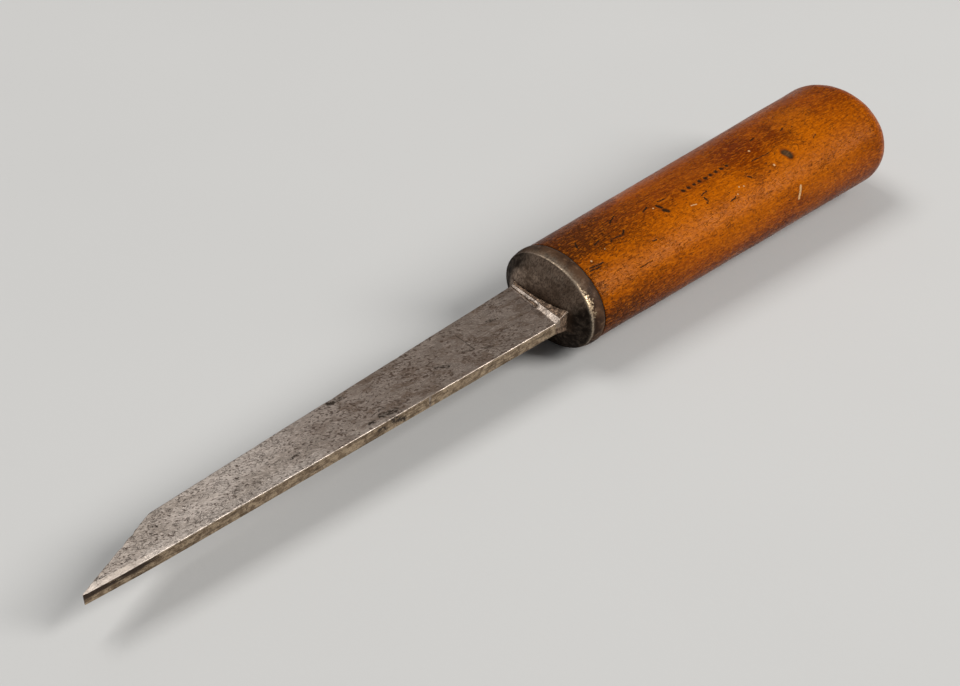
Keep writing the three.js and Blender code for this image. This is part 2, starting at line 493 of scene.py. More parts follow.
def bolster():
    turns = full_turn(BOLSTER_AROUND)
    opening = pocket_ring(0.0, turns)
    border = oval(0.0, RIM_FRONT - RIM_ROUNDING, turns)
    rings = []
    for share in np.linspace(0.0, 1.0, 50):
        ring = opening + (border - opening) * share
        ring[:, 0] = dome_x(ring)
        rings.append(ring)
    rim_start = rings[-1][0, 0]
    for angle in quarter_turn(6)[1:]:
        radius = RIM_FRONT - RIM_ROUNDING * (1.0 - math.sin(angle))
        x = rim_start + (RIM_ROUNDING - rim_start) * (1.0 - math.cos(angle))
        rings.append(oval(x, radius, turns))
    outer_start = rings[-1][0, 0]
    for share in np.linspace(0.0, 1.0, 20)[1:] ** 1.3:
        radius = mix((RIM_FRONT, RIM_BACK), share) + RIM_SWELL * math.sin(math.pi * share)
        rings.append(oval(mix((outer_start, RIM_THICKNESS - BACK_EDGE), share), radius, turns))
    for angle in quarter_turn(4)[1:]:
        x = RIM_THICKNESS - BACK_EDGE * (1.0 - math.sin(angle))
        rings.append(oval(x, RIM_BACK - BACK_EDGE * (1.0 - math.cos(angle)), turns))
    rings = np.array(rings)
    away = rings * (0.0, 1.0, 1.0)
    away[..., 0] = -9.0 * (rings[..., 0] < 0.1)
    away /= np.linalg.norm(away, axis=-1, keepdims=True)
    marks = bolster_marks(rings, opening)
    rings += away * uneven(rings, BOLSTER_LUMPS)[..., None]
    pocket_floor = SHOULDER_SEAT + 0.2
    inner = np.array([oval(RIM_THICKNESS, 12.0, turns), tang_ring(RIM_THICKNESS, turns),
                      tang_ring(pocket_floor, turns), pocket_ring(pocket_floor, turns)])
    blank = np.zeros(inner.shape[:2])
    marks = {mark: np.concatenate([values, blank]) for mark, values in marks.items()}
    return skin("bolster_collar", np.concatenate([rings, inner]), closed=True, marks=marks)


def bolster_marks(rings, opening):
    """The rim's bright edge, worn and widened by a painted sheen, the patch where it is worn most, dirt
    beside the blade, and painted shade in the scale mark.
    """
    x = rings[..., 0]
    spread = np.hypot(rings[..., 1], rings[..., 2] / OVAL_RATIO)
    turn = np.degrees(np.arctan2(rings[..., 2] / OVAL_RATIO, -rings[..., 1]))
    edge = np.exp(-((x - 0.1) / EDGE_WEAR) ** 2) * smooth((spread - RIM_FRONT + 0.9) / 0.4)
    edge *= 0.12 + 0.88 * smooth((125.0 - turn) / 45.0) * smooth((turn + 45.0) / 40.0)
    worn_side = np.exp(-((turn - WORN_TURN) / WORN_SPAN) ** 2)
    patch = worn_side * np.exp(-(np.clip(x - 0.2, 0.0, None) / 2.0) ** 2) * (spread > RIM_FRONT - 0.25)
    seam_near = np.linalg.norm((rings - opening[None])[..., 1:], axis=-1)
    seam = np.exp(-(seam_near / 1.3) ** 2)
    # Painted sheen: the rim's side just behind its upper front edge is made lighter, and this joins the worn
    # edge in the edge mark.
    sheen = 0.32 * (x > 0.0) * np.exp(-(x / 1.6) ** 2)
    sheen *= smooth((turn - 25.0) / 30.0) * smooth((135.0 - turn) / 30.0)
    # Painted shade, kept in the scale mark: the face is darker on its far border and lower part, and the rim
    # is darker on its far side.
    face = x < -0.05
    border = smooth((spread - 12.8) / 2.6) * smooth((rings[..., 1] - 3.0) / 9.0)
    low = smooth((-1.0 - rings[..., 1] - 1.3 * rings[..., 2]) / 9.0)
    far_rim_shade = 0.8 * (x > -0.05) * smooth((turn - 120.0) / 30.0)
    scale = np.clip(face * (border + low) + far_rim_shade, 0.0, 1.0)
    edge = np.maximum(edge * (0.7 + 0.3 * worn_side), sheen)
    return {"edge": edge, "patch": patch, "grime": seam, "scale": scale}


def washer():
    """A thin ring of leather whose outer edge is a little uneven and squeezed between its neighbours."""
    turns = full_turn(BOLSTER_AROUND)
    front, back = RIM_THICKNESS, WOOD_START
    rings = [oval(front, WASHER_HOLE_RADIUS, turns), oval(front, WASHER_RADIUS - 0.25, turns)]
    for share in np.linspace(0.0, 1.0, 7):
        bulge = WASHER_BULGE * math.sin(math.pi * share)
        rings.append(oval(mix((front, back), share), WASHER_RADIUS - 0.2 + bulge, turns))
    rings += [oval(back, WASHER_RADIUS - 0.25, turns), oval(back, WASHER_HOLE_RADIUS, turns)]
    rings = np.array(rings)
    swell = 1.0 + 0.004 * rough(rings, 5.0, 21)[..., None]
    rings[2:-2, :, 1:] *= swell[2:-2]
    return skin("washer_ring", rings, closed=True)


# -------- handle

HANDLE_AROUND, HANDLE_LONG = 288, 285
CROWDED_TURN, TURN_CROWDING = 62.0, 0.36
BUTT_START = BUTT_END - BUTT_ROUNDING

# Scars as straight strokes: place along the tool and degrees round it for both ends, half width, depth.
DARK_STROKES = (
    (21.1, 75.9, 25.1, 72.8, 0.34, 0.16), (25.1, 72.8, 26.8, 77.0, 0.34, 0.18),
    (21.1, 75.9, 20.3, 73.2, 0.34, 0.16), (26.0, 91.0, 27.6, 95.0, 0.3, 0.12),
    (27.6, 95.0, 29.7, 97.5, 0.24, 0.1), (43.3, 81.5, 43.9, 77.5, 0.62, 0.24),
    (43.8, 73.8, 44.5, 70.6, 0.78, 0.26), (37.8, 83.2, 40.4, 86.4, 0.3, 0.12),
    (44.8, 84.8, 47.6, 83.8, 0.28, 0.1), (58.8, 63.2, 59.0, 59.4, 0.46, 0.18),
    (59.0, 59.4, 58.2, 57.6, 0.4, 0.18), (58.6, 66.8, 61.4, 68.3, 0.26, 0.12),
    (66.0, 47.0, 69.0, 48.4, 0.22, 0.08), (84.0, 71.0, 92.0, 69.5, 0.16, 0.06),
    (78.0, 60.0, 79.0, 57.0, 0.3, 0.14), (104.0, 84.0, 105.5, 85.2, 0.4, 0.18),
    (111.0, 60.0, 112.6, 61.4, 0.36, 0.18), (92.0, 92.0, 94.0, 92.6, 0.36, 0.16),
    (11.3, 92.5, 10.0, 86.0, 0.36, 0.14), (6.8, 58.3, 10.8, 56.7, 0.26, 0.1),
    (7.4, 61.0, 12.6, 58.8, 0.24, 0.1), (22.5, 35.4, 28.0, 35.8, 0.2, 0.08),
    (32.0, 52.5, 33.6, 51.8, 0.26, 0.1), (15.0, 79.0, 17.4, 81.0, 0.3, 0.12),
    (70.0, 140.0, 73.0, 144.0, 0.3, 0.16), (35.0, 170.0, 37.0, 173.0, 0.4, 0.2),
    (105.0, 210.0, 108.0, 208.0, 0.3, 0.18), (50.0, 250.0, 53.0, 254.0, 0.3, 0.18),
    (88.0, 300.0, 91.0, 303.0, 0.3, 0.16), (25.0, 330.0, 27.0, 334.0, 0.3, 0.15),
)
PALE_STROKES = ((93.6, 11.6, 95.6, 24.0, 0.46, 0.1), (52.6, 63.5, 54.6, 61.8, 0.16, 0.05))
PALE_SPECKS = (
    (87.0, 81.8, 0.42), (89.8, 56.3, 0.42), (72.4, 55.2, 0.3), (74.2, 53.5, 0.28), (70.2, 49.6, 0.26),
    (41.4, 80.9, 0.3), (9.6, 66.0, 0.34), (16.5, 70.0, 0.2),
)
# Broad shallow hollows: place along and round, half length, half width, depth.
HOLLOWS = ((30.0, 66.0, 9.0, 3.0, 0.1), (62.0, 30.0, 12.0, 4.0, 0.1), (118.0, 40.0, 7.0, 4.0, 0.12),
           (80.0, 100.0, 10.0, 4.0, 0.1), (45.0, 200.0, 11.0, 5.0, 0.12), (100.0, 270.0, 9.0, 5.0, 0.12))
KNOT_ENDS = ((96.9, 62.4), (97.8, 56.6))
RED_HEART, LIT_PATCH = (84.0, 84.0, 11.0), (113.0, 88.0, 9.0)
KNOT_HALF, KNOT_DEPTH, KNOT_EYE_LENGTH = 1.3, 0.2, 2.0
PUNCH_START, PUNCH_PITCH, PUNCH_COUNT, PUNCH_TURN = 55.2, 2.55, 9, 81.0
PUNCH_RADIUS, PUNCH_DEPTH = 0.78, 0.3
PUNCH_MARKS = [(PUNCH_START + step * PUNCH_PITCH, PUNCH_TURN, PUNCH_RADIUS) for step in range(PUNCH_COUNT)]


def handle_radius(x):
    return mix((WOOD_FRONT, WOOD_BACK), (x - WOOD_START) / (BUTT_END - WOOD_START))


def on_handle(x, turn):
    """The point of the handle's plain surface at a place along it and an angle round it."""
    return oval(x, handle_radius(x), np.array([math.radians(turn)]))[0]


def stroke_distance(points, start, end):
    run = end - start
    share = np.clip((points - start) @ run / (run @ run), 0.0, 1.0)
    return np.linalg.norm(points - start - share[..., None] * run, axis=-1)


def handle_turns():
    """Angles round the handle, closest together on the upper near side, where most marks are."""
    even = full_turn(HANDLE_AROUND)
    middle = math.radians(CROWDED_TURN)
    return even - TURN_CROWDING * np.sin(even - middle)


def handle():
    turns = handle_turns()
    rings = []
    for angle in quarter_turn(4):
        x = WOOD_START + FRONT_ROUNDING * (1.0 - math.cos(angle))
        rings.append(oval(x, WOOD_FRONT - FRONT_ROUNDING * (1.0 - math.sin(angle)), turns))
    for x in np.linspace(WOOD_START + FRONT_ROUNDING, BUTT_START, HANDLE_LONG)[1:]:
        rings.append(oval(x, handle_radius(x), turns))
    for angle in quarter_turn(33)[1:]:
        x = BUTT_START + BUTT_ROUNDING * math.sin(angle)
        rings.append(oval(x, handle_radius(x) - BUTT_ROUNDING * (1.0 - math.cos(angle)), turns))
    flat = WOOD_BACK - BUTT_ROUNDING
    for share in np.linspace(1.0, 0.0, 14)[1:-1]:
        rings.append(oval(BUTT_END, flat * share, turns))
    rings = np.array(rings)
    out = outward(rings)
    at_butt = smooth((rings[..., 0] - BUTT_START + 4.0) / 12.0)
    height = uneven(rings, WOOD_LUMPS) + at_butt * uneven(rings, BUTT_LUMPS)
    for x, turn, long, wide, depth in HOLLOWS:
        offset = rings - on_handle(x, turn)
        across = np.linalg.norm(offset[..., 1:], axis=-1)
        height -= depth * np.exp(-(offset[..., 0] / long) ** 2 - (across / wide) ** 2)
    for x1, turn1, x2, turn2, half, depth in DARK_STROKES + PALE_STROKES:
        away = stroke_distance(rings, on_handle(x1, turn1), on_handle(x2, turn2))
        height -= depth * np.exp(-(away / (half + 0.12)) ** 2)
    for x, turn, radius in PUNCH_MARKS:
        away = np.linalg.norm(rings - on_handle(x, turn), axis=-1)
        height -= PUNCH_DEPTH * np.exp(-(away / radius) ** 4)
    away = stroke_distance(rings, on_handle(*KNOT_ENDS[0]), on_handle(*KNOT_ENDS[1]))
    height -= KNOT_DEPTH * np.exp(-(away / (KNOT_HALF + 0.25)) ** 4)
    rings += out * height[..., None]
    rings[..., 0] = np.minimum(rings[..., 0], BUTT_END + 0.1)
    hidden = np.array([tang_ring(TANG_END + SOCKET_EXTRA, turns), tang_ring(WOOD_START, turns)])
    return skin("handle_wood", np.concatenate([hidden, rings]))


def outward(rings):
    """The unit direction out of a tube of rings at each of its points."""
    along = np.gradient(rings, axis=0)
    around = np.roll(rings, -1, axis=1) - np.roll(rings, 1, axis=1)
    out = np.cross(around, along)
    out /= np.maximum(np.linalg.norm(out, axis=-1, keepdims=True), 1e-9)
    middle = np.array([0.5 * (WOOD_START + BUTT_END), 0.0, 0.0])
    if (out * (rings - middle)).sum() < 0:
        out = -out
    return out


# -------- material building blocks


class Surface:
    """A material on one Principled shader. paint and bump add layers to its colour and its relief."""

    def __init__(self, name, **constants):
        self.material = bpy.data.materials.new(name)
        self.material.use_nodes = True
        self.tree = self.material.node_tree
        self.shader = self.tree.nodes["Principled BSDF"]
        for socket, value in constants.items():
            self.shader.inputs[socket.replace("_", " ")].default_value = value
        self.place = self.add("TexCoord", {})["Object"]
        self.colour = self.normal = None

    def add(self, kind, inputs, **settings):
        """The outputs of a new node. Its inputs are linked to other outputs or set to plain values."""
        node = self.tree.nodes.new("ShaderNode" + kind)
        for setting, value in settings.items():
            setattr(node, setting, value)
        for socket, value in inputs.items():
            self.feed(node.inputs[socket], value)
        return node.outputs

    def feed(self, socket, value):
        if hasattr(value, "is_output"):
            self.tree.links.new(value, socket)
        else:
            socket.default_value = value

    def stretched(self, along, across, lean=0.0, slant=0.0):
        """Coordinates for lumps of the given sizes in millimetres along and across the tool."""
        turn = (0.0, math.radians(slant), math.radians(lean))
        turned = self.add("VectorRotate", {"Vector": self.place, "Rotation": turn}, rotation_type="EULER_XYZ")
        size = (1 / (along * MM), 1 / (across * MM), 1 / (across * MM))
        return self.add("Mapping", {"Vector": turned[0], "Scale": size}, vector_type="POINT")[0]

    def lumps(self, along, across, detail=2.0, roughness=0.5, distortion=0.0, output="Fac", **turned):
        """Noise from 0 to 1 in lumps of these sizes in millimetres."""
        place = self.stretched(along, across, **turned)
        look = {"Scale": 1.0, "Detail": detail, "Roughness": roughness, "Distortion": distortion}
        return self.add("TexNoise", {"Vector": place, **look})[output]

    def span(self, value, low, high, start=0.0, end=1.0):
        """start where value is below low, end where it is above high, and a smooth change between."""
        inputs = {"Value": value, "From Min": low, "From Max": high, "To Min": start, "To Max": end}
        return self.add("MapRange", inputs, interpolation_type="SMOOTHSTEP")[0]

    def calc(self, operation, *values):
        return self.add("Math", dict(enumerate(values)), operation=operation)[0]

    def times(self, first, second):
        return self.calc("MULTIPLY", first, second)

    def plus(self, first, second):
        return self.calc("ADD", first, second)

    def minus(self, first, second):
        return self.calc("SUBTRACT", first, second)

    def most(self, *values):
        """The largest of the values."""
        found = values[0]
        for value in values[1:]:
            found = self.calc("MAXIMUM", found, value)
        return found

    def blend(self, share, first, second):
        first, second = (part if hasattr(part, "is_output") else (*part, 1.0) for part in (first, second))
        return self.add("Mix", {0: share, 6: first, 7: second}, data_type="RGBA")[2]

    def marks(self, *names):
        return [self.add("Attribute", {}, attribute_name=name)["Fac"] for name in names]

    def axis(self, which):
        return self.add("SeparateXYZ", {0: self.place})[which]

    def vector(self, operation, first, second):
        inputs = {0: first, 3 if operation == "SCALE" else 1: second}
        output = "Value" if operation in ("DOT_PRODUCT", "DISTANCE") else "Vector"
        return self.add("VectorMath", inputs, operation=operation)[output]

    def wobbled(self, size_mm, amount_mm):
        """The place, shifted a little this way and that, for ragged outlines."""
        shift = self.lumps(size_mm, size_mm, output="Color")
        shift = self.vector("SUBTRACT", shift, (0.5, 0.5, 0.5))
        return self.vector("ADD", self.place, self.vector("SCALE", shift, 2.0 * amount_mm * MM))

    def stroke(self, place, start, end, half_mm):
        """1 inside a thin straight mark between two points in tool millimetres, 0 outside it."""
        start, end = Vector(world(start)), Vector(world(end))
        along = (end - start).normalized()
        offset = self.vector("SUBTRACT", place, tuple(start))
        reach = self.vector("DOT_PRODUCT", offset, tuple(along))
        reach = self.calc("MINIMUM", self.calc("MAXIMUM", reach, 0.0), (end - start).length)
        away = self.vector("DISTANCE", offset, self.vector("SCALE", tuple(along), reach))
        return self.span(away, 0.55 * half_mm * MM, 1.35 * half_mm * MM, 1.0, 0.0)

    def strokes(self, place, point_at, rows):
        """1 inside any of several thin marks: rows of two places on a surface and a half width."""
        found = [self.stroke(place, point_at(*row[:2]), point_at(*row[2:4]), row[4]) for row in rows]
        return self.most(*found)

    def spot(self, place, x, turn, half_mm):
        """1 inside a round mark on the handle, 0 outside it."""
        away = self.vector("DISTANCE", place, tuple(world(on_handle(x, turn))))
        return self.span(away, 0.6 * half_mm * MM, 1.25 * half_mm * MM, 1.0, 0.0)

    def spots(self, place, rows):
        return self.most(*(self.spot(place, *row) for row in rows))

    def paint(self, mask, colour, strength=1.0):
        """Lay a colour over what is there, where the mask is 1."""
        if strength < 1.0:
            mask = self.times(mask, strength)
        self.colour = self.blend(mask, self.colour, colour)

    def bump(self, height, depth_mm):
        inputs = {"Strength": 1.0, "Distance": depth_mm * MM, "Height": height}
        if self.normal is not None:
            inputs["Normal"] = self.normal
        self.normal = self.add("Bump", inputs)[0]

    def finish(self, roughness, metallic=0.0):
        values = (self.colour, roughness, self.normal, metallic)
        for socket, value in zip(("Base Color", "Roughness", "Normal", "Metallic"), values):
            self.feed(self.shader.inputs[socket], value)
        return self.material


# -------- materials

# Tones of the steel: bright, dull and brown with age.
BLADE_TONES = ((0.52, 0.453, 0.406), (0.355, 0.302, 0.26), (0.185, 0.139, 0.109))
LAID_TONES = ((0.54, 0.477, 0.43), (0.365, 0.312, 0.272), (0.2, 0.153, 0.12))
# Dark stains on the blade's upper side: both ends (x, y) and half width.
BLADE_STAINS = (
    (-75.8, -7.7, -74.5, -7.5, 0.7), (-72.0, -7.1, -70.5, -7.3, 1.0), (-69.5, -7.6, -67.0, -8.2, 1.1),
    (-70.4, -4.9, -69.3, -5.0, 0.6), (-79.0, 6.6, -75.0, 6.2, 0.9), (-47.0, -2.0, -44.0, -4.0, 0.6),
    (-22.0, 3.5, -20.0, 2.5, 0.7), (-140.6, 0.2, -139.8, -0.3, 0.5), (-100.0, -4.0, -97.0, -3.2, 0.5),
)
# Thin dark cuts in the same form, and stains on the near narrow face: both ends (x, z) and half width.
BLADE_CUTS = (
    (-33.4, -3.4, -33.1, 5.1, 0.24), (-36.8, -1.9, -33.5, -3.5, 0.24), (-31.0, -5.0, -28.6, -6.2, 0.3),
)
NARROW_STAINS = ((-69.5, 1.2, -66.0, -0.6, 1.1), (-75.0, 0.4, -72.5, 0.2, 0.6))
# Rust, pits and dirt on the steel, its narrow faces, the shoulder and the honed parts.
RUST_CLOUD, FRECKLE, PIT = (0.125, 0.08, 0.054), (0.05, 0.029, 0.019), (0.04, 0.029, 0.022)
STAIN, NARROW_PALE, NARROW_BROWN = (0.03, 0.021, 0.015), (0.4, 0.305, 0.205), (0.17, 0.118, 0.075)
STREAK, FINE_DIRT, TIP_BLACK = (0.075, 0.05, 0.032), (0.05, 0.034, 0.022), (0.045, 0.03, 0.021)
RUST_PALE, RUST_BROWN, RUST_DEEP = (0.29, 0.2, 0.138), (0.135, 0.088, 0.06), (0.045, 0.028, 0.02)
COPPERY, HONED = (0.62, 0.4, 0.27), (0.62, 0.535, 0.465)


def aged_steel(name, bright, dull, brown):
    """Ground steel gone grey: pits, fine file and stone scratches, brown patches and cleaner honed parts."""
    s = Surface(name, Specular_IOR_Level=0.15)
    honed, age, narrow, filed, rust, stain = s.marks("honed", "age", "narrow", "filed", "rust", "stain")
    patches = s.lumps(24.0, 10.0, 4.0, 0.6)
    mottling = s.lumps(2.4, 1.8, 5.0, 0.7, 0.3)
    s.colour = s.blend(s.span(patches, 0.36, 0.66), bright, dull)
    s.paint(s.span(age, 0.2, 0.9, 0.0, 0.8), brown)

    # Fine scratches along the blade and across it at two angles.
    lines = s.lumps(26.0, 0.22, 2.0, 0.6, lean=1.5)
    crossing = s.lumps(9.0, 0.2, 2.0, 0.6, lean=-24.0)
    steep = s.lumps(7.0, 0.2, 2.0, 0.6, lean=58.0)
    scratches = s.most(s.span(lines, 0.58, 0.68), s.span(crossing, 0.62, 0.7), s.span(steep, 0.65, 0.72))
    s.paint(scratches, tuple(1.15 * part for part in bright), 0.3)
    dark_lines = s.span(s.lumps(6.0, 0.24, 2.0, 0.6, lean=30.0), 0.66, 0.73, 0.0, 0.5)

    # Brown rust in clouds and freckles towards the bolster.
    old = s.span(age, 0.3, 0.8)
    clouds = s.lumps(6.0, 3.4, 3.0, 0.6, 0.4, lean=25.0)
    s.paint(s.times(s.span(clouds, 0.48, 0.62), s.span(old, 0.0, 1.0, 0.05, 0.6)), RUST_CLOUD)
    freckled = s.span(s.lumps(12.0, 7.0), 0.38, 0.6)
    freckled = s.times(s.times(freckled, s.span(old, 0.0, 1.0, 0.35, 1.0)), 0.1)
    spots = s.lumps(1.3, 0.9, 1.0, 0.4, lean=20.0)
    small_spots = s.lumps(0.8, 0.55, 1.0, 0.4, lean=35.0)
    freckles = s.most(s.span(s.plus(spots, freckled), 0.67, 0.72),
                      s.span(s.plus(small_spots, freckled), 0.68, 0.74, 0.0, 0.9))
    s.paint(freckles, FRECKLE, 0.9)
    fine_grain = s.lumps(0.85, 0.55, 1.0, lean=25.0)
    grainy = s.span(old, 0.0, 1.0, 1.0, 0.45)
    dark_grain = s.times(s.span(fine_grain, 0.34, 0.48, 0.34, 0.0), grainy)
    s.paint(dark_grain, tuple(0.4 * part for part in dull))
    pale_grain = s.times(s.span(fine_grain, 0.52, 0.68, 0.0, 0.3), grainy)
    s.paint(pale_grain, tuple(1.4 * part for part in bright))

    # Black pits and short curled cracks, thickest at the honed end.
    pitted = s.span(s.lumps(20.0, 9.0), 0.35, 0.65)
    dots = s.lumps(0.8, 0.55, 1.0, lean=18.0)
    crowded = s.plus(s.times(pitted, 0.05), s.span(old, 0.0, 1.0, 0.055, 0.0))
    dots = s.span(s.plus(dots, crowded), 0.71, 0.78, 0.0, 0.7)
    curls = s.calc("ABSOLUTE", s.minus(s.lumps(2.2, 1.6, 1.0, 0.5, 1.2), 0.5))
    curls = s.span(curls, 0.014, 0.04, 1.0, 0.0)
    curls = s.times(curls, s.span(s.lumps(2.6, 2.2, 1.0), 0.47, 0.55))
    curls = s.times(curls, s.span(old, 0.0, 0.9, 0.85, 0.2))
    pits = s.most(dots, curls, dark_lines)
    pits = s.times(pits, s.span(s.most(honed, filed), 0.2, 0.9, 1.0, 0.25))
    s.paint(pits, PIT, 0.8)

    ragged = s.wobbled(1.4, 0.9)
    stains = s.most(s.strokes(ragged, on_side, BLADE_STAINS), s.strokes(ragged, on_near_face, NARROW_STAINS))
    stains = s.times(stains, s.span(small_spots, 0.42, 0.52, 0.35, 1.0))
    cuts = s.strokes(s.wobbled(1.4, 0.12), on_side, BLADE_CUTS)
    stains = s.most(stains, s.times(cuts, 0.7))

    # The narrow faces: dull gold-brown with darker streaks, blackest next to the tip's near arris.
    warm = s.blend(s.span(mottling, 0.38, 0.62), NARROW_PALE, NARROW_BROWN)
    streaks = s.lumps(9.0, 0.5, 4.0, 0.7)
    warm = s.blend(s.span(streaks, 0.5, 0.62, 0.0, 0.7), warm, STREAK)
    fine = s.lumps(0.6, 0.4, 2.0, 0.6)
    warm = s.blend(s.span(fine, 0.56, 0.66, 0.0, 0.7), warm, FINE_DIRT)
    s.paint(narrow, warm)
    s.paint(stains, STAIN)
    blackened = s.span(s.plus(streaks, s.times(stain, 0.24)), 0.56, 0.66)
    s.paint(s.times(stain, blackened), TIP_BLACK)

    # Behind the filed strip the shoulder is brown, with coppery chips.
    chips = s.lumps(0.55, 1.3, 3.0, 0.65, lean=-12.0)
    rusty = s.blend(s.span(mottling, 0.38, 0.6), RUST_PALE, RUST_BROWN)
    rusty = s.blend(s.span(chips, 0.4, 0.5, 0.8, 0.0), rusty, RUST_DEEP)
    rusty = s.blend(s.span(chips, 0.6, 0.68), rusty, COPPERY)
    s.paint(rust, rusty)
    polish = s.most(honed, s.times(filed, 0.42))
    polish = s.times(polish, s.span(mottling, 0.46, 0.62, 1.0, 0.55))
    s.paint(polish, HONED, 0.8)

    roughness = s.span(mottling, 0.35, 0.68, 0.4, 0.56)
    roughness = s.plus(roughness, s.times(s.most(pits, narrow), 0.12))
    roughness = s.minus(roughness, s.times(polish, 0.1))
    dirty = s.most(pits, s.times(rust, 0.45), stains, freckles, s.times(narrow, 0.5))
    metallic = s.span(s.minus(dirty, polish), 0.0, 1.0, 0.93, 0.3)
    s.bump(s.minus(1.0, pits), 0.07)
    s.bump(s.minus(1.0, scratches), 0.014)
    s.bump(mottling, 0.05)
    s.bump(s.times(rust, chips), 0.35)
    return s.finish(roughness, metallic)


# The bolster's face, its rim, scale and dirt, black painted shade, and where it is rubbed bare or painted
# with a sheen.
IRON_BROWN, IRON_DARK, IRON_PALE = (0.33, 0.24, 0.18), (0.175, 0.118, 0.083), (0.4, 0.305, 0.23)
HOLLOW_BROWN, IRON_STREAK, RIM_BROWN = (0.075, 0.05, 0.034), (0.055, 0.036, 0.024), (0.07, 0.036, 0.019)
RIM_DARK, RIM_PALE, SCALE = (0.024, 0.012, 0.007), (0.14, 0.082, 0.05), (0.014, 0.009, 0.006)
GRIME, RUBBED_AND_SHEEN, GOLDEN = (0.085, 0.048, 0.028), (0.44, 0.36, 0.27), (0.56, 0.42, 0.27)


def bolster_iron():
    """Dark forge scale, brown in its hollows, black painted shade on the face's far border and lower part,
    and rubbed bright along the rim's front edge, with a painted sheen.
    """
    s = Surface("bolster_iron", Specular_IOR_Level=0.06)
    edge, patch, grime, scale = s.marks("edge", "patch", "grime", "scale")
    mottling = s.lumps(1.9, 1.9, 3.0, 0.6, 0.5)
    broad = s.lumps(8.0, 8.0, 3.0, 0.6)
    rim = s.span(s.axis(0), RIM_X, RIM_X + 0.3 * MM)
    streaks = s.lumps(1.2, 0.45, 3.0, 0.65, slant=35.0)
    s.colour = s.blend(s.span(broad, 0.35, 0.65), IRON_BROWN, IRON_DARK)
    s.paint(s.span(mottling, 0.5, 0.66, 0.0, 0.4), IRON_PALE)
    s.paint(s.span(mottling, 0.34, 0.5, 0.5, 0.0), HOLLOW_BROWN)
    s.paint(s.span(streaks, 0.38, 0.54, 0.65, 0.0), IRON_STREAK)
    rim_tone = s.blend(s.span(broad, 0.4, 0.6), RIM_BROWN, RIM_DARK)
    rim_tone = s.blend(s.span(mottling, 0.54, 0.68, 0.0, 0.6), rim_tone, RIM_PALE)
    s.paint(rim, rim_tone)
    # Painted shade: the scale mark blackens the face's far border and lower part and the rim's far side.
    s.paint(s.times(scale, s.span(mottling, 0.42, 0.64, 1.0, 0.85)), SCALE)
    s.paint(grime, GRIME, 0.5)
    speckle = s.lumps(0.65, 0.65, 1.0)
    # The edge mark holds the worn edge and the painted sheen, and both get the rubbed tone.
    rubbed_and_sheen = s.times(edge, s.span(speckle, 0.36, 0.6, 0.35, 0.9))
    gold = s.span(s.plus(s.times(patch, 0.55), s.times(speckle, 0.9)), 0.72, 1.1)
    gold = s.times(gold, s.span(patch, 0.05, 0.3))
    s.paint(rubbed_and_sheen, RUBBED_AND_SHEEN)
    s.paint(gold, GOLDEN)
    bare_and_sheen = s.most(rubbed_and_sheen, gold)
    roughness = s.span(mottling, 0.35, 0.65, 0.58, 0.4)
    roughness = s.plus(roughness, s.times(scale, 0.2))
    roughness = s.minus(roughness, s.times(bare_and_sheen, 0.08))
    metallic = s.span(mottling, 0.35, 0.62, 0.55, 0.8)
    metallic = s.times(metallic, s.span(s.most(scale, rim), 0.0, 1.0, 1.0, 0.0))
    metallic = s.most(metallic, bare_and_sheen)
    s.bump(mottling, 0.16)
    s.bump(speckle, 0.05)
    return s.finish(roughness, metallic)


# Wood colours, from the lightest to the dirt in its pores, among them a painted shade for the underside, then
# bare wood and the knot's.
LIGHT, HONEY, AMBER = (0.58, 0.16, 0.004), (0.41, 0.098, 0.001), (0.3, 0.058, 0.0006)
CHESTNUT, RUSSET, UNDERSIDE_SHADE = (0.19, 0.034, 0.0005), (0.118, 0.015, 0.0004), (0.082, 0.011, 0.0003)
DIRTY, DARK, SOOT = (0.07, 0.016, 0.002), (0.038, 0.0095, 0.002), (0.014, 0.008, 0.005)
BARE = (0.62, 0.4, 0.2)
KNOT_BROWN, KNOT_BLACK, KNOT_GRAIN = (0.095, 0.05, 0.022), (0.03, 0.014, 0.006), (0.05, 0.026, 0.012)
# The near upper side, painted lighter where the key light falls and worn clean by hands, in degrees, and how
# far its border wanders in radians.
LIT_WORN_TURN, TURN_WANDER = 42.0, 0.8
# Where the dirt behind the bolster thins out and ends: everywhere but on the lit, worn side, and all round.
DIRT_FADE, COLLAR_FADE = (0.022, 0.068), (0.019, 0.036)
LEATHER_TONES = (0.008, 0.005, 0.004), (0.028, 0.016, 0.009)
FLOOR_TONES = (0.54, 0.54, 0.535), (0.57, 0.57, 0.565)


def washer_leather():
    s = Surface("washer_leather")
    grain = s.lumps(0.5, 0.9, 4.0, 0.6)
    s.colour = s.blend(s.span(grain, 0.35, 0.7), *LEATHER_TONES)
    s.bump(grain, 0.12)
    return s.finish(s.span(grain, 0.3, 0.7, 0.85, 0.65))


